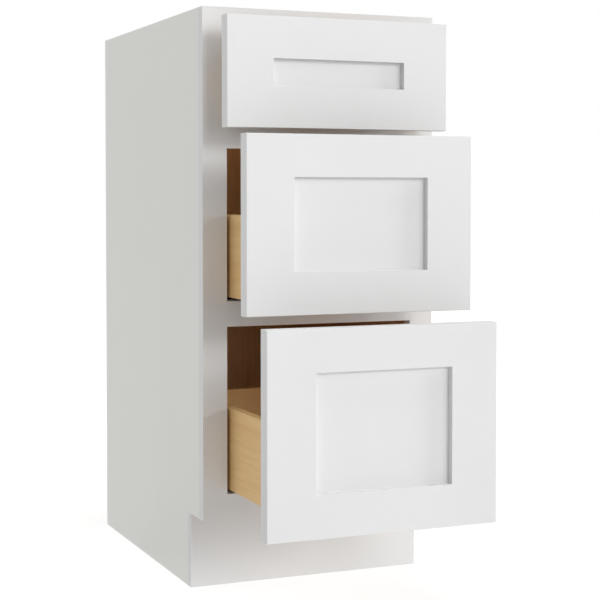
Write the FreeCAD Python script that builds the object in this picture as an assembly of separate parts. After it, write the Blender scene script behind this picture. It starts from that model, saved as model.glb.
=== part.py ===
import FreeCAD
import Part
import math
import os

from FreeCAD import Vector

# Vanity drawer base cabinet with a face frame and three drawers, in millimetres.
# +X is right, +Z is up and the front faces -Y. The origin is the middle of the wall and floor line.

# Carcass
cabinet_width = 381.0
cabinet_depth = 533.4
side_thickness = 12.7
side_groove_depth = 6.35
floor_thickness = 12.7
back_thickness = 6.0
nailer_thickness = 12.7
nailer_height = 90.0
toe_height = 113.0
toe_recess = 57.5
toe_board_thickness = 12.7
corner_block_leg = 80.0
corner_block_tip = 12.0
corner_block_thickness = 16.0
worktop_hole_inset = 26.0
worktop_hole_radius = 2.5
cleat_height = 40.0

# Face frame, and the openings that it leaves for the drawers
frame_thickness = 19.05
frame_stile_width = 38.1
frame_rail_width = 38.1
frame_groove_depth = 6.0
tenon_thickness = 6.4
tenon_length = 14.0
tenon_shoulder = 6.0
bottom_opening_height = 251.0
middle_opening_height = 227.6
top_opening_height = 132.3

# Applied drawer fronts: frame of stiles and rails round a flat panel
front_thickness = 22.2
front_stile_width = 72.5
front_rail_width = 61.0
front_side_reveal = 12.7
front_bottom_reveal = 13.0
front_top_reveal = 18.3
lower_front_gap = 12.0
lower_gap_rise = 0.95
upper_front_gap = 11.3
upper_gap_rise = 3.4
panel_recess = 10.5
panel_thickness = 6.5
panel_groove_depth = 10.0
panel_groove_play = 1.0
front_outer_round = 1.0
front_inner_round = 0.3
bumper_radius = 4.0
bumper_thickness = 1.7
bumper_drop = 14.0

# Drawer boxes, and how far each drawer is pulled out at rest
box_side_gap = 5.0
box_floor_gap = 5.5
bottom_box_headroom = 122.0
middle_box_headroom = 98.6
top_box_headroom = 28.8
box_board_thickness = 13.0
box_tongue_thickness = 6.5
box_tongue_length = 6.0
box_bottom_thickness = 9.0
box_bottom_lift = 12.7
box_groove_depth = 6.0
box_groove_play = 0.5
box_back_drop = 3.2
box_edge_round = 1.5
box_short_of_rail = 10.0
bottom_pulled_out = 203.2
middle_pulled_out = 126.6
top_pulled_out = 49.1
closed_gap = 2.0

# Slides under the boxes: fixed rail, middle member and drawer member, bent from sheet
slide_sheet = 1.2
slide_setback = 16.0
slide_rear_gap = 48.7
slide_flange_height = 32.0
slide_half_width = 15.0
slide_box_clearance = 2.0
slide_return_width = 3.5
slide_lip_height = 8.2
slide_level_gap = 1.8
slide_run_gap = 0.3
slide_side_play = 0.5
middle_member_short = 50.0
middle_member_setback = 4.0
hook_plate_thickness = 2.0
hook_plate_half_width = 8.0
hook_plate_above_pin = 8.0
hook_pin_rise = 8.0
hook_pin_radius = 2.5
hook_pin_length = 8.0
hook_hole_clearance = 0.3
back_notch_clearance = 4.0

# Locking clips between the drawer members and the box front
clip_stop_thickness = 7.0
clip_body_width = 20.0
clip_body_length = 46.0
clip_tongue_root = 20.0
clip_tongue_slot = 2.8
clip_tongue_thickness = 3.2
clip_tongue_lean = 12.0
clip_tongue_length = 32.0

# Screws
screw_shank_radius = 2.0
screw_head_radius = 4.0
screw_head_height = 2.0
screw_head_bevel = 0.8
screw_tip_length = 4.0
screw_tip_radius = 0.4
screw_sides = 10
slide_screw_length = 16.0
slide_screw_height = 20.0
slide_screw_end_distance = 60.0
front_screw_bite = 15.0
front_screw_side_distance = 9.0
front_screw_end_distance = 34.0

# Distance within which an edge counts as lying on a plane
near = 0.01

# Planes and levels worked out from the sizes above
half_width = cabinet_width / 2
side_inner = half_width - side_thickness
opening_half = half_width - frame_stile_width
front_plane = -cabinet_depth
frame_back = front_plane + frame_thickness
back_rear = -nailer_thickness
back_front = back_rear - back_thickness
toe_front = front_plane + toe_recess
toe_rear = toe_front + toe_board_thickness

bottom_rail_z = toe_height
bottom_opening_z = bottom_rail_z + frame_rail_width
lower_rail_z = bottom_opening_z + bottom_opening_height
middle_opening_z = lower_rail_z + frame_rail_width
upper_rail_z = middle_opening_z + middle_opening_height
top_opening_z = upper_rail_z + frame_rail_width
top_rail_z = top_opening_z + top_opening_height
cabinet_height = top_rail_z + frame_rail_width
rail_levels = (bottom_rail_z, lower_rail_z, upper_rail_z, top_rail_z)
opening_levels = (bottom_opening_z, middle_opening_z, top_opening_z)
floor_top = bottom_opening_z
floor_bottom = floor_top - floor_thickness

front_half = half_width - front_side_reveal
front_recess_half = front_half - front_stile_width
lower_gap_z = lower_rail_z + frame_rail_width / 2 + lower_gap_rise
upper_gap_z = upper_rail_z + frame_rail_width / 2 + upper_gap_rise

box_outer = opening_half - box_side_gap
box_inner = box_outer - box_board_thickness
fixed_rail_front = front_plane + slide_setback
fixed_rail_rear = back_front - slide_rear_gap
fixed_rail_length = fixed_rail_rear - fixed_rail_front
box_depth = fixed_rail_length - box_short_of_rail
box_underside = box_floor_gap + box_bottom_lift
track_middle = box_inner - slide_box_clearance - slide_half_width
member_low = slide_lip_height + slide_level_gap
hook_pin_height = box_underside + box_bottom_thickness + hook_pin_rise


class Drawer:
    def __init__(self, name, opening_z, opening_height, headroom, front_low, front_high, pulled_out):
        self.name = name
        self.opening_z = opening_z
        self.front_low = front_low
        self.front_high = front_high
        self.box_low = opening_z + box_floor_gap
        self.box_high = opening_z + opening_height - headroom
        self.underside = opening_z + box_underside
        self.front_y = front_plane - pulled_out
        self.rear_y = self.front_y + box_depth
        self.inside_front_y = self.front_y + box_board_thickness
        self.inside_rear_y = self.rear_y - box_board_thickness
        self.travelled = pulled_out - closed_gap


drawers = (
    Drawer("bottom", bottom_opening_z, bottom_opening_height, bottom_box_headroom,
           bottom_rail_z + front_bottom_reveal, lower_gap_z - lower_front_gap / 2, bottom_pulled_out),
    Drawer("middle", middle_opening_z, middle_opening_height, middle_box_headroom,
           lower_gap_z + lower_front_gap / 2, upper_gap_z - upper_front_gap / 2, middle_pulled_out),
    Drawer("top", top_opening_z, top_opening_height, top_box_headroom,
           upper_gap_z + upper_front_gap / 2, cabinet_height - front_top_reveal, top_pulled_out),
)


def board(x_from, x_to, y_from, y_to, z_from, z_to):
    return Part.makeBox(x_to - x_from, y_to - y_from, z_to - z_from, Vector(x_from, y_from, z_from))


def flat_face(points):
    return Part.Face(Part.makePolygon(points + points[:1]))


def prism(points, travel):
    return flat_face(points).extrude(travel)


def across(points_yz, x_from, x_to):
    return prism([Vector(x_from, y, z) for y, z in points_yz], Vector(x_to - x_from, 0, 0))


def along(points_xz, y_from, y_to):
    return prism([Vector(x, y_from, z) for x, z in points_xz], Vector(0, y_to - y_from, 0))


def upright(points_xy, z_from, z_to):
    return prism([Vector(x, y, z_from) for x, y in points_xy], Vector(0, 0, z_to - z_from))


def mirrored(shape):
    return shape.mirror(Vector(0, 0, 0), Vector(1, 0, 0))


def joined(*shapes):
    return shapes[0].multiFuse(shapes[1:]).removeSplitter()


def rounded(shape, radius, wanted):
    return shape.makeFillet(radius, [edge for edge in shape.Edges if wanted(edge)])


def save(node, *solids):
    shape = solids[0] if len(solids) == 1 else Part.Compound(solids)
    shape.exportStep(os.path.join("parts", node + ".step"))


# Corners of a ring of equal sides at a height on the Z axis
def ring(radius, height):
    turn = 2 * math.pi / screw_sides
    return [
        Vector(radius * math.cos(i * turn), radius * math.sin(i * turn), height)
        for i in range(screw_sides)
    ]


# Solid with flat sides from each ring to the next, closed at both ends
def stacked(rings):
    faces = [flat_face(rings[0]), flat_face(rings[-1])]
    for below, above in zip(rings, rings[1:]):
        for i in range(screw_sides):
            faces.append(flat_face([below[i - 1], below[i], above[i], above[i - 1]]))
    return Part.Solid(Part.Shell(faces))


def turned_to(shape, seat, direction):
    shape.Placement = FreeCAD.Placement(seat, FreeCAD.Rotation(Vector(0, 0, 1), direction))
    return shape


# Straight hole as wide as a screw's shank
def screw_hole(seat, direction, length):
    hole = prism(ring(screw_shank_radius, 0), Vector(0, 0, length))
    return turned_to(hole, seat, direction)


# Screw with its head seated at the given point and its shank running along the given direction
def screw(seat, direction, length):
    rings = [
        ring(screw_head_radius - screw_head_bevel, -screw_head_height),
        ring(screw_head_radius, screw_head_bevel - screw_head_height),
        ring(screw_head_radius, 0),
        ring(screw_shank_radius, 0),
        ring(screw_shank_radius, length - screw_tip_length),
        ring(screw_tip_radius, length),
    ]
    return turned_to(stacked(rings), seat, direction)


# Tongue on the right side panel's front edge, which fits a groove in the stile's back
def frame_tongue():
    return board(side_inner, side_inner + side_groove_depth, frame_back - frame_groove_depth, frame_back,
                 toe_height, cabinet_height)


# Side panel on the right: toe notch at its foot, grooves for the cabinet floor and the back.
# The floor's groove runs out through the front tongue.
def side_panel():
    outline = [
        (0, 0),
        (toe_rear, 0),
        (toe_rear, toe_height),
        (frame_back, toe_height),
        (frame_back, cabinet_height),
        (0, cabinet_height),
    ]
    groove_bottom = side_inner + side_groove_depth
    panel = joined(across(outline, side_inner, half_width), frame_tongue())
    floor_groove = board(side_inner, groove_bottom, frame_back - frame_groove_depth, back_front,
                         floor_bottom, floor_top)
    back_groove = board(side_inner, groove_bottom, back_front, back_rear, 0, cabinet_height)
    return panel.cut(floor_groove).cut(back_groove)


def cabinet_floor():
    reach = side_inner + side_groove_depth
    return board(-reach, reach, frame_back, back_front, floor_bottom, floor_top)


def back_panel():
    reach = side_inner + side_groove_depth
    return board(-reach, reach, back_front, back_rear, 0, cabinet_height)


def nailer(z_low):
    return board(-side_inner, side_inner, back_rear, 0, z_low, z_low + nailer_height)


# Toe-kick board: covers the front edges of the side panels, its tongue reaches up to the cabinet floor
def toe_kick_board():
    right = [
        (half_width, 0),
        (half_width, toe_height),
        (side_inner, toe_height),
        (side_inner, floor_bottom),
    ]
    left = [(-x, z) for x, z in reversed(right)]
    return along(right + left, toe_front, toe_rear)


# Tenon zone of a face-frame rail, as wide as asked
def tenon_bar(rail_z, reach_from, reach_to):
    middle = front_plane + frame_thickness / 2
    half = tenon_thickness / 2
    low = rail_z + tenon_shoulder
    high = rail_z + frame_rail_width - tenon_shoulder
    return board(reach_from, reach_to, middle - half, middle + half, low, high)


def frame_stile():
    stile = board(opening_half, half_width, front_plane, frame_back, toe_height, cabinet_height)
    stile = stile.cut(frame_tongue())
    for rail_z in rail_levels:
        stile = stile.cut(tenon_bar(rail_z, opening_half, opening_half + tenon_length))
    return stile


def frame_rail(rail_z):
    rail = board(-opening_half, opening_half, front_plane, frame_back, rail_z, rail_z + frame_rail_width)
    reach = opening_half + tenon_length
    return joined(rail, tenon_bar(rail_z, -reach, reach))


# Corner block on the right, in the corner of a side panel and the wall that stands at corner_y
def corner_block(corner_y, inward):
    leg = corner_block_leg
    tip = corner_block_tip
    outline = [
        (side_inner, corner_y),
        (side_inner, corner_y + inward * leg),
        (side_inner - tip, corner_y + inward * leg),
        (side_inner - leg, corner_y + inward * tip),
        (side_inner - leg, corner_y),
    ]
    low = cabinet_height - corner_block_thickness
    block = upright(outline, low, cabinet_height)
    hole_place = Vector(side_inner - worktop_hole_inset, corner_y + inward * worktop_hole_inset, low)
    return block.cut(Part.makeCylinder(worktop_hole_radius, corner_block_thickness, hole_place))


def corner_blocks():
    right = [corner_block(frame_back, 1), corner_block(back_front, -1)]
    return right + [mirrored(block) for block in right]


# Places on the right where the slide screws go through the rail's flange into the cleat
def slide_screw_seats(opening_z):
    z = opening_z + slide_screw_height
    x = opening_half - slide_sheet
    ends = (fixed_rail_front + slide_screw_end_distance, fixed_rail_rear - slide_screw_end_distance)
    return [Vector(x, y, z) for y in ends]


def slide_screw_holes(opening_z):
    return [screw_hole(seat, Vector(1, 0, 0), slide_screw_length) for seat in slide_screw_seats(opening_z)]


# Cleat on the right: fills the step between the side panel and the stile's inner edge
def slide_cleat(opening_z):
    cleat = board(opening_half, side_inner, frame_back, back_front, opening_z, opening_z + cleat_height)
    return cleat.cut(slide_screw_holes(opening_z))


# Fixed rail on the right: open track under the box, base below the box side, flange on the cleat
def fixed_slide_rail(opening_z):
    inner = track_middle - slide_half_width
    outer = track_middle + slide_half_width
    sheet = slide_sheet
    tip = sheet + slide_return_width
    lip = slide_lip_height
    profile = [
        (inner, 0),
        (opening_half, 0),
        (opening_half, slide_flange_height),
        (opening_half - sheet, slide_flange_height),
        (opening_half - sheet, sheet),
        (outer, sheet),
        (outer, lip),
        (outer - tip, lip),
        (outer - tip, lip - sheet),
        (outer - sheet, lip - sheet),
        (outer - sheet, sheet),
        (inner + sheet, sheet),
        (inner + sheet, lip - sheet),
        (inner + tip, lip - sheet),
        (inner + tip, lip),
        (inner, lip),
    ]
    rail = along([(x, opening_z + z) for x, z in profile], fixed_rail_front, fixed_rail_rear)
    return rail.cut(slide_screw_holes(opening_z))


# Middle member on the right: a beam whose flanges run in the fixed rail and in the drawer member
def middle_slide_member(drawer):
    half = slide_half_width - slide_sheet - slide_side_play
    web = slide_sheet
    low = drawer.opening_z + slide_sheet + slide_run_gap
    high = drawer.underside - slide_sheet - slide_run_gap
    right = [
        (half, low),
        (half, low + slide_sheet),
        (web, low + slide_sheet),
        (web, high - slide_sheet),
        (half, high - slide_sheet),
        (half, high),
    ]
    profile = [(track_middle + x, z) for x, z in right]
    profile += [(track_middle - x, z) for x, z in reversed(right)]
    front = fixed_rail_front + middle_member_setback - drawer.travelled / 2
    return along(profile, front, front + fixed_rail_length - middle_member_short)


# Drawer member on the right: channel over the middle member, with a hook pin in the box back
def drawer_slide_member(drawer):
    half = slide_half_width
    sheet = slide_sheet
    tip = sheet + slide_return_width
    low = drawer.opening_z + member_low
    high = drawer.underside
    right = [
        (half, high),
        (half, low),
        (half - tip, low),
        (half - tip, low + sheet),
        (half - sheet, low + sheet),
        (half - sheet, high - sheet),
    ]
    profile = [(track_middle + x, z) for x, z in right]
    profile += [(track_middle - x, z) for x, z in reversed(right)]
    front = drawer.inside_front_y + clip_stop_thickness
    hook_rear = drawer.rear_y + hook_plate_thickness
    channel = along(profile, front, hook_rear)
    pin_z = drawer.opening_z + hook_pin_height
    plate = board(track_middle - hook_plate_half_width, track_middle + hook_plate_half_width,
                  drawer.rear_y, hook_rear, high - sheet, pin_z + hook_plate_above_pin)
    pin_root = Vector(track_middle, drawer.rear_y, pin_z)
    pin = Part.makeCylinder(hook_pin_radius, hook_pin_length, pin_root, Vector(0, -1, 0))
    return joined(channel, plate, pin)


# Locking clip on the right: stop in front of the drawer member, body beside it, springy release tongue
def locking_clip(drawer):
    beside = track_middle - slide_half_width
    root = clip_body_width + clip_tongue_slot
    outline = [
        (-2 * slide_half_width, 0),
        (root + clip_tongue_thickness, 0),
        (root + clip_tongue_thickness, clip_tongue_root),
        (root + clip_tongue_thickness + clip_tongue_lean, clip_tongue_root + clip_tongue_length),
        (root + clip_tongue_lean, clip_tongue_root + clip_tongue_length),
        (root, clip_tongue_root),
        (clip_body_width, clip_tongue_root),
        (clip_body_width, clip_body_length),
        (0, clip_body_length),
        (0, clip_stop_thickness),
        (-2 * slide_half_width, clip_stop_thickness),
    ]
    points = [(beside - inward, drawer.inside_front_y + back) for inward, back in outline]
    return upright(points, drawer.opening_z + member_low, drawer.underside)


# Side of a drawer box on the right: eased top, housings for the front and back, groove for the bottom
def box_side(drawer):
    side = board(box_inner, box_outer, drawer.front_y, drawer.rear_y, drawer.box_low, drawer.box_high)
    side = rounded(side, box_edge_round, lambda edge: edge.CenterOfMass.z > drawer.box_high - near
                   and edge.Length > box_depth - near)
    housing_end = box_inner + box_tongue_length
    front_housing = board(box_inner, housing_end, drawer.inside_front_y - box_tongue_thickness,
                          drawer.inside_front_y, drawer.box_low, drawer.box_high)
    rear_housing = board(box_inner, housing_end, drawer.inside_rear_y,
                         drawer.inside_rear_y + box_tongue_thickness, drawer.box_low, drawer.box_high)
    groove = bottom_groove(drawer, box_inner, box_inner + box_groove_depth)
    return side.cut([front_housing, rear_housing, groove])


# Space that the bottom panel's grooves take, between the given places across the box
def bottom_groove(drawer, x_from, x_to):
    return board(x_from, x_to, drawer.inside_front_y - box_groove_depth,
                 drawer.inside_rear_y + box_groove_depth,
                 drawer.underside, drawer.underside + box_bottom_thickness)


def front_screw_seats(drawer):
    x = box_inner - front_screw_side_distance
    heights = (drawer.box_low + front_screw_end_distance, drawer.box_high - front_screw_end_distance)
    return [Vector(side * x, drawer.inside_front_y, z) for side in (-1, 1) for z in heights]


def front_screw_holes(drawer):
    length = box_board_thickness + front_screw_bite
    return [screw_hole(seat, Vector(0, -1, 0), length) for seat in front_screw_seats(drawer)]


def box_front(drawer):
    reach = box_inner + box_tongue_length
    front = board(-box_inner, box_inner, drawer.front_y, drawer.inside_front_y,
                  drawer.box_low, drawer.box_high)
    tongues = board(-reach, reach, drawer.inside_front_y - box_tongue_thickness, drawer.inside_front_y,
                    drawer.box_low, drawer.box_high)
    return joined(front, tongues).cut([bottom_groove(drawer, -reach, reach)] + front_screw_holes(drawer))


# Back of a drawer box: lower than the sides, notched for the slides and drilled for their hook pins
def box_back(drawer):
    reach = box_inner + box_tongue_length
    high = drawer.box_high - box_back_drop
    back = board(-box_inner, box_inner, drawer.inside_rear_y, drawer.rear_y, drawer.box_low, high)
    tongues = board(-reach, reach, drawer.inside_rear_y, drawer.inside_rear_y + box_tongue_thickness,
                    drawer.box_low, high)
    notch_from = track_middle - slide_half_width - back_notch_clearance
    notch = board(notch_from, box_inner, drawer.inside_rear_y, drawer.rear_y,
                  drawer.box_low, drawer.underside)
    pin_place = Vector(track_middle, drawer.rear_y, drawer.opening_z + hook_pin_height)
    hole = Part.makeCylinder(hook_pin_radius + hook_hole_clearance, hook_pin_length + hook_hole_clearance,
                             pin_place, Vector(0, -1, 0))
    cuts = [notch, mirrored(notch), hole, mirrored(hole), bottom_groove(drawer, -reach, reach)]
    return joined(back, tongues).cut(cuts)


def box_bottom(drawer):
    reach = box_inner + box_groove_depth - box_groove_play
    tuck = box_groove_depth - box_groove_play
    return board(-reach, reach, drawer.inside_front_y - tuck, drawer.inside_rear_y + tuck,
                 drawer.underside, drawer.underside + box_bottom_thickness)


# Frame of a drawer front in one piece, its edges eased as they are after gluing
def front_frame(drawer):
    face_y = drawer.front_y - front_thickness
    low = drawer.front_low + front_rail_width
    high = drawer.front_high - front_rail_width
    frame = board(-front_half, front_half, face_y, drawer.front_y, drawer.front_low, drawer.front_high)
    frame = frame.cut(board(-front_recess_half, front_recess_half, face_y, drawer.front_y, low, high))

    def on_face(edge):
        return edge.CenterOfMass.y < face_y + near

    def round_recess(edge):
        middle = edge.CenterOfMass
        return abs(middle.x) < front_recess_half + near and low - near < middle.z < high + near

    frame = rounded(frame, front_outer_round, lambda edge: on_face(edge) and not round_recess(edge))
    return rounded(frame, front_inner_round, lambda edge: on_face(edge) and round_recess(edge))


# Space of the panel groove, which also takes the rails' tenons
def groove_space(drawer, x_from, x_to, z_from, z_to):
    groove_y = drawer.front_y - front_thickness + panel_recess
    return board(x_from, x_to, groove_y, groove_y + panel_thickness, z_from, z_to)


def front_stile(drawer, frame):
    stile = frame.common(board(front_recess_half, front_half, drawer.front_y - front_thickness,
                               drawer.front_y, drawer.front_low, drawer.front_high))
    groove = groove_space(drawer, front_recess_half, front_recess_half + panel_groove_depth,
                          drawer.front_low, drawer.front_high)
    return stile.cut([groove] + front_screw_holes(drawer))


def front_rails(drawer, frame):
    reach = front_recess_half + panel_groove_depth
    levels = (
        (drawer.front_low, drawer.front_low + front_rail_width),
        (drawer.front_high - front_rail_width, drawer.front_high),
    )
    panel_low = drawer.front_low + front_rail_width - panel_groove_depth
    panel_high = drawer.front_high - front_rail_width + panel_groove_depth
    groove = groove_space(drawer, -reach, reach, panel_low, panel_high)
    rails = []
    for low, high in levels:
        rail = frame.common(board(-front_recess_half, front_recess_half, drawer.front_y - front_thickness,
                                  drawer.front_y, low, high))
        tenons = groove_space(drawer, -reach, reach, low, high)
        rails.append(joined(rail, tenons).cut(groove))
    return rails


def front_panel(drawer):
    tuck = panel_groove_depth - panel_groove_play
    reach = front_recess_half + tuck
    return groove_space(drawer, -reach, reach, drawer.front_low + front_rail_width - tuck,
                        drawer.front_high - front_rail_width + tuck)


# Bumper on the right, on the back of a front's stile, where it meets the face frame
def bumper(drawer):
    place = Vector((opening_half + front_half) / 2, drawer.front_y, drawer.front_high - bumper_drop)
    return Part.makeCylinder(bumper_radius, bumper_thickness, place, Vector(0, 1, 0))


def save_pair(node, right):
    save(node, mirrored(right), right)


def save_carcass():
    save("side_panel_left", mirrored(side_panel()))
    save("side_panel_right", side_panel())
    save("cabinet_floor", cabinet_floor())
    save("back_panel", back_panel())
    save("upper_nailer", nailer(cabinet_height - nailer_height))
    save("lower_nailer", nailer(0))
    save("toe_kick_board", toe_kick_board())
    save("corner_blocks", *corner_blocks())


def save_face_frame():
    save("frame_stile_left", mirrored(frame_stile()))
    save("frame_stile_right", frame_stile())
    for name, rail_z in zip(("bottom", "lower", "upper", "top"), rail_levels):
        save("frame_rail_" + name, frame_rail(rail_z))


def save_fixed_slides():
    cleats = [slide_cleat(z) for z in opening_levels]
    rails = [fixed_slide_rail(z) for z in opening_levels]
    screws = [
        screw(seat, Vector(1, 0, 0), slide_screw_length)
        for z in opening_levels
        for seat in slide_screw_seats(z)
    ]
    for node, right in (("slide_cleats", cleats), ("fixed_slide_rails", rails), ("slide_screws", screws)):
        save(node, *right, *[mirrored(solid) for solid in right])


def save_drawer(drawer):
    prefix = drawer.name + "_drawer_"
    frame = front_frame(drawer)
    stile = front_stile(drawer, frame)
    screw_length = box_board_thickness + front_screw_bite
    save(prefix + "front_stile_left", mirrored(stile))
    save(prefix + "front_stile_right", stile)
    save(prefix + "front_rails", *front_rails(drawer, frame))
    save(prefix + "front_panel", front_panel(drawer))
    save(prefix + "box_side_left", mirrored(box_side(drawer)))
    save(prefix + "box_side_right", box_side(drawer))
    save(prefix + "box_front", box_front(drawer))
    save(prefix + "box_back", box_back(drawer))
    save(prefix + "box_bottom", box_bottom(drawer))
    save_pair(prefix + "slide_members", drawer_slide_member(drawer))
    save_pair(prefix + "locking_clips", locking_clip(drawer))
    save_pair(prefix + "bumpers", bumper(drawer))
    save(prefix + "front_screws",
         *[screw(seat, Vector(0, -1, 0), screw_length) for seat in front_screw_seats(drawer)])
    save_pair(drawer.name + "_middle_slide_members", middle_slide_member(drawer))


os.makedirs("parts", exist_ok=True)
save_carcass()
save_face_frame()
save_fixed_slides()
for drawer in drawers:
    save_drawer(drawer)
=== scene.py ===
# Painted vanity base with three drawers: finishes, screws, bumpers, light and camera, in metres.
import math

import bpy
import numpy as np
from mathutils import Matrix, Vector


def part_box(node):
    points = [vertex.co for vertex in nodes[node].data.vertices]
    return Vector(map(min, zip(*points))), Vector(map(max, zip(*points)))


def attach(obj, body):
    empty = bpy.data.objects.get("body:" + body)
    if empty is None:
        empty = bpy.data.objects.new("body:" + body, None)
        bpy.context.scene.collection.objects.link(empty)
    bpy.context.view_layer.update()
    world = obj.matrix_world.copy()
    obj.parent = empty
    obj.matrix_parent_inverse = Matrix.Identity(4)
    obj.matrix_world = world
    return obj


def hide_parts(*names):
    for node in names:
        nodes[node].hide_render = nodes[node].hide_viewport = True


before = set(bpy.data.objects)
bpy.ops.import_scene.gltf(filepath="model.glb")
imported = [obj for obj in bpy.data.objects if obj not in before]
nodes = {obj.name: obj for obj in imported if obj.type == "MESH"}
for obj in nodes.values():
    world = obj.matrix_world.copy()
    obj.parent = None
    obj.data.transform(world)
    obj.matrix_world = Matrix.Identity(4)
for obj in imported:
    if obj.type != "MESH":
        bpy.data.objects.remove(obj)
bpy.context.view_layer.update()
drawerNames = ("top", "middle", "bottom")
mm = 0.001
print("frame loaded with", len(nodes), "nodes")


# sRGB hex to linear colour
def linearColour(hexText):
    parts = np.array([int(hexText[i:i + 2], 16) for i in (1, 3, 5)]) / 255
    linear = np.where(parts <= 0.04045, parts / 12.92, ((parts + 0.055) / 1.055) ** 2.4)
    return (*linear, 1.0)


# adds a node: sockets take a value or another node's output, the rest are the node's own settings
def addNode(tree, kind, sockets=None, **settings):
    made = tree.nodes.new("ShaderNode" + kind)
    for name, value in settings.items():
        setattr(made, name, value)
    for socket, value in (sockets or {}).items():
        if isinstance(value, bpy.types.NodeSocket):
            tree.links.new(value, made.inputs[socket])
        else:
            made.inputs[socket].default_value = value
    return made


# new material: its tree, its surface shader and the Object coordinates
def startMaterial(name, surface):
    material = bpy.data.materials.new(name)
    material.use_nodes = True
    tree = material.node_tree
    shader = tree.nodes["Principled BSDF"]
    for socket, value in surface.items():
        shader.inputs[socket].default_value = value
    return material, tree, shader, addNode(tree, "TexCoord").outputs["Object"]


# joins the finished patterns to the surface shader
def joinSurface(tree, shader, colour, roughness, height, depth):
    bump = addNode(tree, "Bump", {"Height": height, "Distance": depth})
    tree.links.new(colour, shader.inputs["Base Color"])
    tree.links.new(roughness, shader.inputs["Roughness"])
    tree.links.new(bump.outputs["Normal"], shader.inputs["Normal"])


lacquer = {
    "fronts": ("#E0E0E0", "#E3E3E3"),
    "sides": ("#E8E8E3", "#EBEBE6"),  # a trace warmer, as the photograph shows them
    "driftSize": 160 * mm,
    "driftDetail": 3.0,
    "driftSpan": (0.3, 0.7),  # part of the noise that runs from one tone to the other
    "peelSize": 2.2 * mm,  # real orange peel is near 1 mm, drawn coarser so that it shows
    "peelDetail": 1.5,
    "peelDepth": 0.012 * mm,
    "roughness": (0.36, 0.46),
    "ior": 1.5,
}


# colour, roughness and height of the sprayed paint: slow drift of tone, fine orange peel
def paintPatterns(tree, place, tones):
    drift = addNode(tree, "TexNoise", {"Vector": place, "Scale": 1 / lacquer["driftSize"],
                                       "Detail": lacquer["driftDetail"]})
    peel = addNode(tree, "TexNoise", {"Vector": place, "Scale": 1 / lacquer["peelSize"],
                                      "Detail": lacquer["peelDetail"]})
    spread = addNode(tree, "MapRange", {"Value": drift.outputs["Fac"], "From Min": lacquer["driftSpan"][0],
                                        "From Max": lacquer["driftSpan"][1]})
    tone = addNode(tree, "Mix", {0: spread.outputs["Result"], 6: linearColour(tones[0]),
                                 7: linearColour(tones[1])}, data_type="RGBA")
    gloss = addNode(tree, "MapRange", {"Value": drift.outputs["Fac"], "To Min": lacquer["roughness"][0],
                                       "To Max": lacquer["roughness"][1]})
    return tone.outputs[2], gloss.outputs["Result"], peel.outputs["Fac"]


# White catalysed lacquer, sprayed and rubbed to satin: even colour, faint orange peel, soft wide highlights
def satinLacquer():
    material, tree, shader, place = startMaterial("white_satin_lacquer", {"IOR": lacquer["ior"]})
    colour, roughness, height = paintPatterns(tree, place, lacquer["fronts"])
    joinSurface(tree, shader, colour, roughness, height, lacquer["peelDepth"])
    return material


maple = {
    "light": "#EAC588",
    "dark": "#DFB275",
    "pore": "#C99F66",
    "figureSize": 16 * mm,
    "streakSize": 2.6 * mm,
    "poreSize": 0.9 * mm,
    "stretch": 26.0,  # how much longer the grain is along the board than across it
    "roughness": (0.38, 0.5),
    "poreDepth": 0.03 * mm,
}
birch = {
    "light": "#E8BD86",
    "dark": "#D9A76D",
    "pore": "#BE8E56",
    "figureSize": 38 * mm,
    "streakSize": 5.0 * mm,
    "poreSize": 1.1 * mm,
    "stretch": 14.0,
    "roughness": (0.42, 0.55),
    "poreDepth": 0.03 * mm,
}
grain = {
    "figureDetail": 2.0,
    "figureBend": 0.6,
    "streakDetail": 3.0,
    "streakShare": 0.45,  # the rest of the tone is figure
    "toneSpan": (0.34, 0.64),  # part of the noise that runs from dark to light
    "poreDetail": 1.0,
    "poreSpan": (0.62, 0.78),
    "poreStrength": 0.45,
}
plyEdge = {
    "endGrain": "#A67A4A",
    "glue": "#6B4A2A",
    "layer": 1.4 * mm,
    "glueShare": 0.07,
    "firstLayer": 0.3 * mm,  # keeps the faces clear of a glue line
}


# colour, roughness and height of wood: broad figure, finer streaks and short dark pores along the grain
def woodPatterns(tree, place, wood, grainAxis):
    drawnOut = [1.0, 1.0, 1.0]
    drawnOut["XYZ".index(grainAxis)] = 1 / wood["stretch"]
    along = addNode(tree, "Mapping", {"Vector": place, "Scale": drawnOut}).outputs["Vector"]
    figure = addNode(tree, "TexNoise", {"Vector": along, "Scale": 1 / wood["figureSize"],
                                        "Detail": grain["figureDetail"], "Distortion": grain["figureBend"]})
    streak = addNode(tree, "TexNoise", {"Vector": along, "Scale": 1 / wood["streakSize"],
                                        "Detail": grain["streakDetail"]})
    pore = addNode(tree, "TexNoise", {"Vector": along, "Scale": 1 / wood["poreSize"],
                                      "Detail": grain["poreDetail"]})
    both = addNode(tree, "Mix", {0: grain["streakShare"], 2: figure.outputs["Fac"],
                                 3: streak.outputs["Fac"]})
    spread = addNode(tree, "MapRange", {"Value": both.outputs[0], "From Min": grain["toneSpan"][0],
                                        "From Max": grain["toneSpan"][1]})
    tone = addNode(tree, "Mix", {0: spread.outputs["Result"], 6: linearColour(wood["dark"]),
                                 7: linearColour(wood["light"])}, data_type="RGBA")
    fleck = addNode(tree, "MapRange", {"Value": pore.outputs["Fac"], "From Min": grain["poreSpan"][0],
                                       "From Max": grain["poreSpan"][1], "To Max": grain["poreStrength"]})
    colour = addNode(tree, "Mix", {0: fleck.outputs["Result"], 6: tone.outputs[2],
                                   7: linearColour(wood["pore"])}, data_type="RGBA")
    gloss = addNode(tree, "MapRange", {"Value": streak.outputs["Fac"], "To Min": wood["roughness"][0],
                                       "To Max": wood["roughness"][1]})
    return colour.outputs[2], gloss.outputs["Result"], pore.outputs["Fac"]


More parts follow.
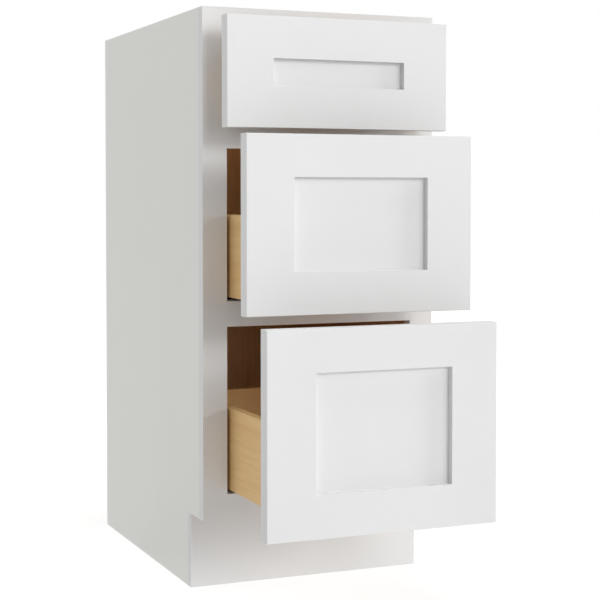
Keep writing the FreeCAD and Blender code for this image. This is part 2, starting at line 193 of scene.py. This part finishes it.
# Solid board under clear lacquer: the grain shows as drawn-out streaks, the lacquer as a soft gloss
def clearedBoard(name, wood, grainAxis):
    material, tree, shader, place = startMaterial(name, {"IOR": lacquer["ior"]})
    colour, roughness, height = woodPatterns(tree, place, wood, grainAxis)
    joinSurface(tree, shader, colour, roughness, height, wood["poreDepth"])
    return material


# Veneered plywood: veneer on its faces, and on cut edges the crossed layers with dark glue lines.
# Layers are counted along one axis from the face at faceAt, and paint lies beyond paintFrom.
def plywood(name, grainAxis, layerAxis, faceAt, paintFrom=None):
    material, tree, shader, place = startMaterial(name, {"IOR": lacquer["ior"]})
    colour, roughness, height = woodPatterns(tree, place, birch, grainAxis)
    split = addNode(tree, "SeparateXYZ", {0: place})
    depth = addNode(tree, "Math", {0: split.outputs[layerAxis]}, operation="ABSOLUTE").outputs[0]
    inset = addNode(tree, "Math", {0: depth, 1: faceAt - plyEdge["firstLayer"]},
                    operation="SUBTRACT").outputs[0]
    layers = addNode(tree, "Math", {0: inset, 1: plyEdge["layer"]}, operation="DIVIDE").outputs[0]
    whole = addNode(tree, "Math", {0: layers}, operation="FLOOR").outputs[0]
    crossed = addNode(tree, "Math", {0: whole, 1: 2.0}, operation="FLOORED_MODULO").outputs[0]
    toLine = addNode(tree, "Math", {0: layers, 1: 0.5}, operation="PINGPONG").outputs[0]
    glued = addNode(tree, "Math", {0: toLine, 1: plyEdge["glueShare"]}, operation="LESS_THAN").outputs[0]
    colour = addNode(tree, "Mix", {0: crossed, 6: colour, 7: linearColour(plyEdge["endGrain"])},
                     data_type="RGBA").outputs[2]
    colour = addNode(tree, "Mix", {0: glued, 6: colour, 7: linearColour(plyEdge["glue"])},
                     data_type="RGBA").outputs[2]
    if paintFrom:
        paint, gloss, peel = paintPatterns(tree, place, lacquer["sides"])
        painted = addNode(tree, "Math", {0: depth, 1: paintFrom}, operation="GREATER_THAN").outputs[0]
        colour = addNode(tree, "Mix", {0: painted, 6: colour, 7: paint}, data_type="RGBA").outputs[2]
        roughness = addNode(tree, "Mix", {0: painted, 2: roughness, 3: gloss}).outputs[0]
        height = addNode(tree, "Mix", {0: painted, 2: height, 3: peel}).outputs[0]
    joinSurface(tree, shader, colour, roughness, height, birch["poreDepth"])
    return material


zinc = {
    "bright": "#C9CCCE",
    "dull": "#AEB2B5",
    "cloudSize": 7 * mm,
    "rollSize": 0.7 * mm,
    "rollStretch": 60.0,
    "detail": 2.0,
    "roughness": (0.28, 0.42),
    "rollDepth": 0.01 * mm,
}


# Zinc-plated cold-rolled steel: bright grey, cloudy plating, hairlines along the rolled strip
def platedSteel():
    material, tree, shader, place = startMaterial("zinc_plated_steel", {"Metallic": 1.0})
    drawnOut = [1.0, 1 / zinc["rollStretch"], 1.0]
    along = addNode(tree, "Mapping", {"Vector": place, "Scale": drawnOut}).outputs["Vector"]
    cloud = addNode(tree, "TexNoise", {"Vector": place, "Scale": 1 / zinc["cloudSize"],
                                       "Detail": zinc["detail"]}).outputs["Fac"]
    roll = addNode(tree, "TexNoise", {"Vector": along, "Scale": 1 / zinc["rollSize"],
                                      "Detail": zinc["detail"]}).outputs["Fac"]
    tone = addNode(tree, "Mix", {0: cloud, 6: linearColour(zinc["dull"]),
                                 7: linearColour(zinc["bright"])}, data_type="RGBA")
    gloss = addNode(tree, "MapRange", {"Value": roll, "To Min": zinc["roughness"][0],
                                       "To Max": zinc["roughness"][1]})
    joinSurface(tree, shader, tone.outputs[2], gloss.outputs["Result"], roll, zinc["rollDepth"])
    return material


nylon = {
    "light": "#7B7F82",
    "shade": "#6C7073",
    "cloudSize": 0.8 * mm,
    "cloudDetail": 2.0,
    "cloudDepth": 0.02 * mm,
    "roughness": (0.42, 0.56),
    "ior": 1.53,
    "clear": 0.0,
}
rubber = {
    "light": "#E6E8E4",
    "shade": "#D5D8D2",
    "cloudSize": 3 * mm,
    "cloudDetail": 2.0,
    "cloudDepth": 0.01 * mm,
    "roughness": (0.18, 0.3),
    "ior": 1.5,
    "clear": 0.2,  # share of the light that passes through
}


# Moulded plastic, nylon or milky rubber: nearly one colour, faintly clouded, with a fine mould texture
def mouldedPlastic(name, plastic):
    material, tree, shader, place = startMaterial(name, {"IOR": plastic["ior"],
                                                         "Transmission Weight": plastic["clear"]})
    cloud = addNode(tree, "TexNoise", {"Vector": place, "Scale": 1 / plastic["cloudSize"],
                                       "Detail": plastic["cloudDetail"]}).outputs["Fac"]
    tone = addNode(tree, "Mix", {0: cloud, 6: linearColour(plastic["shade"]),
                                 7: linearColour(plastic["light"])}, data_type="RGBA")
    gloss = addNode(tree, "MapRange", {"Value": cloud, "To Min": plastic["roughness"][0],
                                       "To Max": plastic["roughness"][1]})
    joinSurface(tree, shader, tone.outputs[2], gloss.outputs["Result"], cloud, plastic["cloudDepth"])
    return material


whiteLacquer = satinLacquer()
mapleLong = clearedBoard("maple_grain_along_depth", maple, "Y")
mapleCross = clearedBoard("maple_grain_along_width", maple, "X")
birchLong = clearedBoard("birch_grain_along_depth", birch, "Y")
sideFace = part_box("side_panel_right")
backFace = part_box("back_panel")
paintSkin = 0.5 * mm
sidePly = plywood("painted_birch_plywood", "Z", "X", sideFace[0].x, sideFace[1].x - paintSkin)
backPly = plywood("birch_plywood_back", "Z", "Y", -backFace[1].y)
nailerPly = plywood("birch_plywood_nailer", "X", "Y", 0)  # the wall face lies at y = 0
floorPly = plywood("birch_plywood_floor", "X", "Z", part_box("cabinet_floor")[0].z)
drawerPly = clearedBoard("birch_veneer_drawer_bottom", birch, "X")
zincSteel = platedSteel()
greyNylon = mouldedPlastic("moulded_grey_nylon", nylon)
clearRubber = mouldedPlastic("clear_polyurethane_rubber", rubber)

finishes = (  # words in a node's name, and the finish of the nodes that hold them; the first match counts
    (("front_stile", "front_rails", "front_panel", "frame_", "toe_kick"), whiteLacquer),
    (("side_panel",), sidePly),
    (("box_side",), mapleLong),
    (("box_front", "box_back"), mapleCross),
    (("box_bottom",), drawerPly),
    (("back_panel",), backPly),
    (("nailer",), nailerPly),
    (("cabinet_floor",), floorPly),
    (("cleats", "corner_blocks"), birchLong),
    (("slide_rails", "slide_members", "screws"), zincSteel),
    (("clips",), greyNylon),
    (("bumpers",), clearRubber),
)
for name, node in nodes.items():
    material = next(made for words, made in finishes if any(word in name for word in words))
    node.data.materials.clear()
    node.data.materials.append(material)
print("finishes on", len(nodes), "nodes")


# Closed skin over a grid of points: rows run from pole to pole, columns run round and meet.
# The first and last rows are single points, the rest become quads that face outwards.
def skinFaces(rows, columns):
    inner = 1 + np.arange((rows - 2) * columns).reshape(rows - 2, columns)
    after = np.roll(inner, -1, axis=1)
    quads = np.stack([inner[:-1], after[:-1], after[1:], inner[1:]], -1).reshape(-1, 4)
    firstCap = np.stack([np.zeros_like(inner[0]), after[0], inner[0]], -1)
    lastCap = np.stack([inner[-1], after[-1], np.full_like(inner[0], inner.max() + 1)], -1)
    return quads, np.concatenate([firstCap, lastCap])


# Turned piece: point (r cos a, r sin a, h) from radius r and height h over the grid of profile place and
# angle a, set at each seat with h along that seat's direction, all seats in one mesh
def turnedPiece(name, radius, height, seats, body, material, slotName, replaced):
    rows, columns = radius.shape
    angle = 2 * np.pi * np.arange(columns) / columns
    grid = np.stack([radius * np.cos(angle), radius * np.sin(angle), height], -1)
    local = np.concatenate([grid[0, :1], grid[1:-1].reshape(-1, 3), grid[-1, :1]])
    quads, caps = skinFaces(rows, columns)
    points = []
    faces = []
    for place, direction in seats:
        ahead = np.array(direction, float)
        side = np.roll(ahead, 1)
        turn = np.stack([side, np.cross(ahead, side), ahead])
        offset = len(points) * len(local)
        points.append(local @ turn + np.array(place))
        faces += (quads + offset).tolist() + (caps + offset).tolist()
    mesh = bpy.data.meshes.new(name)
    mesh.from_pydata(np.concatenate(points).tolist(), [], faces)
    mesh.shade_smooth()
    mesh.materials.append(material)
    piece = bpy.data.objects.new(name, mesh)
    bpy.context.scene.collection.objects.link(piece)
    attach(piece, body)
    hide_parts(replaced)


screwShape = {
    "headRadius": 3.95 * mm,
    "headHeight": 2.0 * mm,
    "rim": 0.5 * mm,
    "crossReach": 2.3 * mm,
    "crossHalfWidth": 0.45 * mm,
    "crossDepth": 1.1 * mm,
    "crossWall": 0.22 * mm,
    "shankRadius": 1.84 * mm,
    "threadDepth": 0.34 * mm,
    "pitch": 1.8 * mm,
    "tipLength": 4.0 * mm,
    "sides": 40,
    "headRows": 22,
    "rowsPerTurn": 7,
}


# Pan-head wood screw. Head: a low dome, h = -(height - (height - rim) (r/R)^4), cut by a cross whose
# depth falls off at its walls. Shank: r = R - depth |saw|, the saw climbing one pitch a turn, drawn in to
# a point at the tip.
def screwGrid(length):
    s = screwShape
    angle = 2 * np.pi * np.arange(s["sides"]) / s["sides"]
    headOut = np.linspace(0, 1, s["headRows"])[:, None] * s["headRadius"]
    x = np.abs(headOut * np.cos(angle))
    y = np.abs(headOut * np.sin(angle))
    armLong = np.minimum((s["crossReach"] - np.maximum(x, y)) / s["crossWall"], 1)
    armWide = np.minimum((s["crossHalfWidth"] - np.minimum(x, y)) / s["crossWall"], 1)
    recess = s["crossDepth"] * np.clip(np.minimum(armLong, armWide), 0, 1)
    domed = 1 - (headOut / s["headRadius"]) ** 4 * (1 - s["rim"] / s["headHeight"])
    headHeight = recess - s["headHeight"] * domed
    under = np.array([[0.0], [0.0]])
    underRadius = np.array([[s["headRadius"]], [s["shankRadius"]]])
    turns = length / s["pitch"]
    down = np.linspace(0, length, int(turns * s["rowsPerTurn"]))[1:, None]
    saw = np.abs((down / s["pitch"] - angle / (2 * np.pi)) % 1 - 0.5) * 2
    taper = np.clip((length - down) / s["tipLength"], 0, 1)
    shank = (s["shankRadius"] - s["threadDepth"] * saw) * taper
    full = np.ones_like(angle)
    radius = np.concatenate([headOut * full, underRadius * full, shank])
    height = np.concatenate([headHeight * full, under * full, down * full])
    return radius, height


slideScrews = {"length": 16 * mm, "fromRailEnd": 60 * mm, "aboveOpening": 20 * mm}
frontScrews = {"length": 28 * mm, "fromBoxSide": 9 * mm, "fromBoxEdge": 34 * mm}


# two screws through each fixed rail's flange, heads towards the drawer
def roundSlideScrews():
    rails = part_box("fixed_slide_rails")
    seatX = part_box("slide_screws")[1].x - slideScrews["length"]
    ends = (rails[0].y + slideScrews["fromRailEnd"], rails[1].y - slideScrews["fromRailEnd"])
    openings = [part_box("frame_rail_" + level)[1].z for level in ("bottom", "lower", "upper")]
    seats = [((side * seatX, y, z + slideScrews["aboveOpening"]), (side, 0, 0))
             for side in (-1, 1) for y in ends for z in openings]
    turnedPiece("round_slide_screws", *screwGrid(slideScrews["length"]), seats, "cabinet", zincSteel,
                "zinc_steel", "slide_screws")


# four screws from inside each box into its applied front
def roundFrontScrews(drawer):
    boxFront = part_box(drawer + "_drawer_box_front")
    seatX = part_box(drawer + "_drawer_box_side_right")[0].x - frontScrews["fromBoxSide"]
    levels = (boxFront[0].z + frontScrews["fromBoxEdge"], boxFront[1].z - frontScrews["fromBoxEdge"])
    seats = [((side * seatX, boxFront[1].y, z), (0, -1, 0)) for side in (-1, 1) for z in levels]
    turnedPiece(drawer + "_round_front_screws", *screwGrid(frontScrews["length"]), seats,
                drawer + "_drawer", zincSteel, "zinc_steel", drawer + "_drawer_front_screws")


bumperShape = {"radius": 4.0 * mm, "wall": 0.3 * mm, "rows": 14, "sides": 32}


# Self-stick bumper: flat base, short wall, then a dome h = wall + rise sqrt(1 - (r/R)^2)
def domedBumpers(drawer):
    s = bumperShape
    low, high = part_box(drawer + "_drawer_bumpers")
    thickness = high.y - low.y
    climb = np.linspace(0, np.pi / 2, s["rows"])
    radius = np.concatenate([[0, s["radius"]], s["radius"] * np.cos(climb)])[:, None]
    height = np.concatenate([[0, 0], s["wall"] + (thickness - s["wall"]) * np.sin(climb)])[:, None]
    full = np.ones(s["sides"])
    centres = (low.x + s["radius"], high.x - s["radius"])
    seats = [((x, low.y, (low.z + high.z) / 2), (0, 1, 0)) for x in centres]
    turnedPiece(drawer + "_domed_bumpers", radius * full, height * full, seats, drawer + "_drawer",
                clearRubber, "clear_rubber", drawer + "_drawer_bumpers")


roundSlideScrews()
for drawer in drawerNames:
    roundFrontScrews(drawer)
    domedBumpers(drawer)
print("screws and bumpers made")

studio = {
    "floorSize": 14.0,
    "floorColour": "#F4F4F4",
    "floorRoughness": 0.9,
    "floorGlow": 1.16,
    "floorGlowShare": 0.7,  # the rest of the floor takes the object's shadow
    "seenLevel": 1.0,  # the world to the eye and in reflections
    "glowEven": 0.27,  # the world as light, from all round
    "glowBelow": 1.1,  # what straight below adds to it, for a pale ground
}
lamps = {  # degrees to the right of the front, degrees up, width in degrees, strength
    "face": (14, 22, 20, 0.81),
    "face_low": (8, 5, 16, 0.28),
    "key_low": (38, 15, 12, 0.31),
    "right_low": (77, 12, 16, 1.4),
    "rear_left": (-120, 30, 25, 0.56),
    "overhead": (0, 85, 25, 1.0),
}


# 1 for rays from the eye, in reflections and through clear pieces, 0 for rays that carry light
def seenRays(tree):
    rays = addNode(tree, "LightPath").outputs
    seen = addNode(tree, "Math", {0: rays["Is Camera Ray"], 1: rays["Is Glossy Ray"]}, operation="MAXIMUM")
    seen = addNode(tree, "Math", {0: seen.outputs[0], 1: rays["Is Transmission Ray"]}, operation="MAXIMUM")
    return seen.outputs[0]


# One square far wider than the object, level with the cabinet's feet: a matt white that keeps the
# object's shadow, mixed with an even glow that only the seen rays meet
def paleFloor():
    half = studio["floorSize"] / 2
    corners = [(-half, -half, 0), (half, -half, 0), (half, half, 0), (-half, half, 0)]
    mesh = bpy.data.meshes.new("pale_floor")
    mesh.from_pydata(corners, [], [(0, 1, 2, 3)])
    floor = bpy.data.objects.new("pale_floor", mesh)
    bpy.context.scene.collection.objects.link(floor)
    floor.visible_diffuse = False  # the pale surroundings light the object from below too
    material, tree, shader, _ = startMaterial("pale_studio_floor", {"Roughness": studio["floorRoughness"]})
    shader.inputs["Base Color"].default_value = linearColour(studio["floorColour"])
    share = addNode(tree, "Math", {0: seenRays(tree), 1: studio["floorGlowShare"]}, operation="MULTIPLY")
    glow = addNode(tree, "Emission", {"Strength": studio["floorGlow"]})
    mixed = addNode(tree, "MixShader", {0: share.outputs[0], 1: shader.outputs[0], 2: glow.outputs[0]})
    tree.links.new(mixed.outputs[0], tree.nodes["Material Output"].inputs["Surface"])
    mesh.materials.append(material)


# plain white to the eye and in reflections; as light, an even glow that grows to the pale ground
def whiteWorld():
    world = bpy.data.worlds.new("white_studio")
    bpy.context.scene.world = world
    world.use_nodes = True
    tree = world.node_tree
    towards = addNode(tree, "TexCoord").outputs["Generated"]
    height = addNode(tree, "SeparateXYZ", {0: towards}).outputs["Z"]
    below = addNode(tree, "Math", {0: height, 1: 0.0}, operation="MINIMUM").outputs[0]
    light = addNode(tree, "Math", {0: below, 1: -studio["glowBelow"], 2: studio["glowEven"]},
                    operation="MULTIPLY_ADD")
    level = addNode(tree, "Mix", {0: seenRays(tree), 2: light.outputs[0], 3: studio["seenLevel"]})
    backdrop = tree.nodes["Background"]
    backdrop.inputs["Color"].default_value = (1, 1, 1, 1)
    tree.links.new(level.outputs[0], backdrop.inputs["Strength"])


# a lamp so far off that its light is parallel; its width softens the shadows
def farLamp(name, toRight, up, width, strength):
    lamp = bpy.data.lights.new(name, "SUN")
    lamp.energy = strength
    lamp.angle = math.radians(width)
    holder = bpy.data.objects.new(name, lamp)
    holder.rotation_euler = (math.radians(90 - up), 0, math.radians(toRight))
    bpy.context.scene.collection.objects.link(holder)


paleFloor()
whiteWorld()
for name, place in lamps.items():
    farLamp(name, *place)
print("studio light set")

camera = {  # fitted to the photograph's straight edges
    "location": (-0.9083, -2.6088, 0.5958),
    "heading": -22.834,
    "tilt": 88.0,
    "lens": 89.019,
    "sensor": 36.0,
    "shift": (0.0, -0.0857),
}
eye = bpy.data.cameras.new("camera")
eye.lens = camera["lens"]
eye.sensor_width = camera["sensor"]
eye.shift_x, eye.shift_y = camera["shift"]
eyeHolder = bpy.data.objects.new("camera", eye)
eyeHolder.location = camera["location"]
eyeHolder.rotation_euler = (math.radians(camera["tilt"]), 0, math.radians(camera["heading"]))
bpy.context.scene.collection.objects.link(eyeHolder)
bpy.context.scene.camera = eyeHolder
bpy.context.scene.view_settings.view_transform = "Standard"
